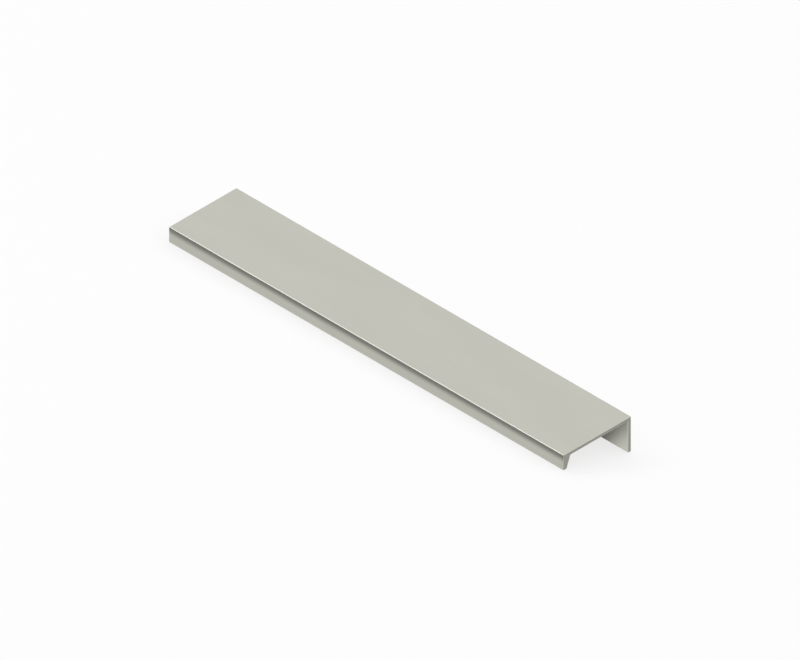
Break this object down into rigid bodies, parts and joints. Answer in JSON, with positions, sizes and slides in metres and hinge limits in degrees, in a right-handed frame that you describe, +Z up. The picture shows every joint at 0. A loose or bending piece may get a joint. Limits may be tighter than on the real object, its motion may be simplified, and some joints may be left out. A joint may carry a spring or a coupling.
{
  "type": "edge pull",
  "caption": "Slim aluminium edge pull with a flat cover, a wedge-shaped finger lip in front and a drilled mounting leg behind, stored lying on its lip and leg.",
  "frame": {"origin": "middle of the length and of the footprint, on the floor that the unheld pull rests on", "axes": "+X along the extrusion, -Y towards the lip and +Y towards the mounting leg, +Z up as it lies; it lies tipped 14.86 degrees forward about X from its level position in use"},
  "size_m": [0.2, 0.037, 0.0152],
  "materials": {
    "satin_aluminium": "satin anodised"
  },
  "bodies": {
    "root": {"edge_pull": "satin_aluminium"}
  },
  "joints": []
}
